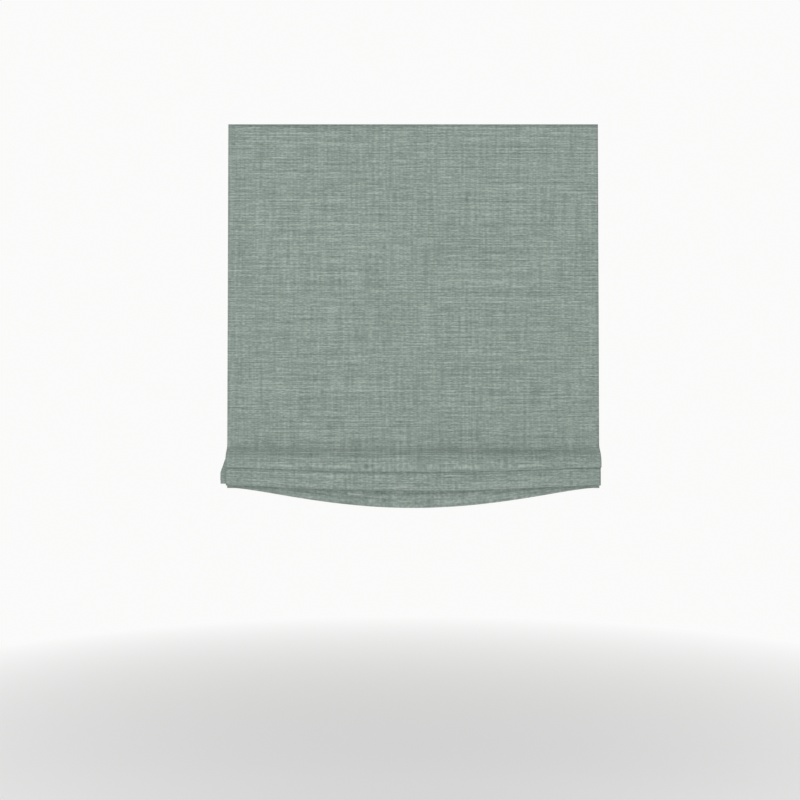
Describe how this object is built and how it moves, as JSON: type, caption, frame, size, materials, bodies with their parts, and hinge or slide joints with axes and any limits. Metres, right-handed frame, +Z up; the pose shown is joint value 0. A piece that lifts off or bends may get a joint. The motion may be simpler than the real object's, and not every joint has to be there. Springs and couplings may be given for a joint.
{
  "type": "relaxed roman shade",
  "caption": "Sage green relaxed Roman shade, part raised: flat cloth panel over soft cascading folds with a curved hem, hung from a slim headrail with a cordless spring lift.",
  "frame": {"origin": "on the window head, midway between the brackets, in the middle of the headrail's depth", "axes": "+Z up towards the window head, -Y out of the shade's face into the room, +X to the right seen from the room"},
  "size_m": [0.9, 0.0873, 0.9351],
  "materials": {
    "face_fabric": "plain woven linen look, sage green",
    "lining": "plain cotton, ivory",
    "rail_aluminium": "white powder coat over aluminium",
    "bar_aluminium": "mill finish",
    "tape": "woven touch tape, white",
    "steel": "bright drawn",
    "spring_steel": "tempered, blue grey",
    "zinc_steel": "zinc plated",
    "white_plastic": "moulded, white",
    "gear_plastic": "moulded acetal, natural",
    "clear_plastic": "moulded, milky",
    "cord": "braided polyester, white"
  },
  "bodies": {
    "head": {"face_fabric": "face_fabric", "lining": "lining", "headrail": "rail_aluminium", "hook_tape": "tape", "loop_tape": "tape", "spring_strip": "spring_steel", "motor_tray": "white_plastic", "motor_cover": "white_plastic", "left_end_cap": "white_plastic", "left_spool_cradle": "white_plastic", "left_lift_cord": "cord", "left_bracket": "zinc_steel", "left_bracket_rivet": "steel", "right_end_cap": "white_plastic", "right_spool_cradle": "white_plastic", "right_lift_cord": "cord", "right_bracket": "zinc_steel", "right_bracket_rivet": "steel"},
    "gathered_hem": {"lift_bar": "bar_aluminium", "bar_sleeve": "lining", "stack_rings_1": "clear_plastic", "stack_rings_2": "clear_plastic", "stack_rings_3": "clear_plastic", "stack_rings_4": "clear_plastic", "stack_rings_5": "clear_plastic", "left_bar_plug": "white_plastic", "left_cord_orb": "clear_plastic", "right_bar_plug": "white_plastic", "right_cord_orb": "clear_plastic"},
    "lift_shaft_turning": {"lift_shaft": "steel", "drive_drum": "gear_plastic", "left_spool": "gear_plastic", "right_spool": "gear_plastic"},
    "storage_drum_turning": {"storage_drum": "gear_plastic"},
    "ring_row_1": {"panel_rings_1": "clear_plastic"},
    "ring_row_2": {"panel_rings_2": "clear_plastic"},
    "ring_row_3": {"panel_rings_3": "clear_plastic"},
    "left_lock": {"left_bracket_lock": "white_plastic"},
    "right_lock": {"right_bracket_lock": "white_plastic"}
  },
  "joints": [
    {"name": "lift", "type": "slide", "parent": "head", "child": "gathered_hem", "axis": [0, 0, 1], "range_m": [-0.46, 0.5], "deforming": ["face_fabric", "lining", "left_lift_cord", "right_lift_cord"]},
    {"name": "shaft_spin", "type": "hinge", "parent": "head", "child": "lift_shaft_turning", "pos_m": [0, -0.009, -0.022], "axis": [1, 0, 0], "range_deg": [-3789.4, 3486.6]},
    {"name": "storage_spin", "type": "hinge", "parent": "head", "child": "storage_drum_turning", "pos_m": [0, 0.009, -0.022], "axis": [1, 0, 0], "range_deg": [-3486.6, 3789.4]},
    {"name": "ring_row_1_slide", "type": "slide", "parent": "head", "child": "ring_row_1", "axis": [0, 0, 1], "range_m": [-0.0864, 0.0937]},
    {"name": "ring_row_2_slide", "type": "slide", "parent": "head", "child": "ring_row_2", "axis": [0, 0, 1], "range_m": [-0.2428, 0.2637]},
    {"name": "ring_row_3_slide", "type": "slide", "parent": "head", "child": "ring_row_3", "axis": [0, 0, 1], "range_m": [-0.3941, 0.4282]},
    {"name": "left_lock_turn", "type": "hinge", "parent": "head", "child": "left_lock", "pos_m": [-0.323, 0.008, -0.005], "axis": [0, 0, 1], "range_deg": [0, 90]},
    {"name": "right_lock_turn", "type": "hinge", "parent": "head", "child": "right_lock", "pos_m": [0.323, 0.008, -0.005], "axis": [0, 0, 1], "range_deg": [-90, 0]}
  ],
  "couplings": [
    {"joint": "shaft_spin", "follows": "lift", "rad_per_m": -132.1},
    {"joint": "storage_spin", "follows": "lift", "rad_per_m": 132.1},
    {"joint": "ring_row_1_slide", "follows": "lift", "ratio": 0.1834},
    {"joint": "ring_row_2_slide", "follows": "lift", "ratio": 0.5234},
    {"joint": "ring_row_3_slide", "follows": "lift", "ratio": 0.8524}
  ]
}
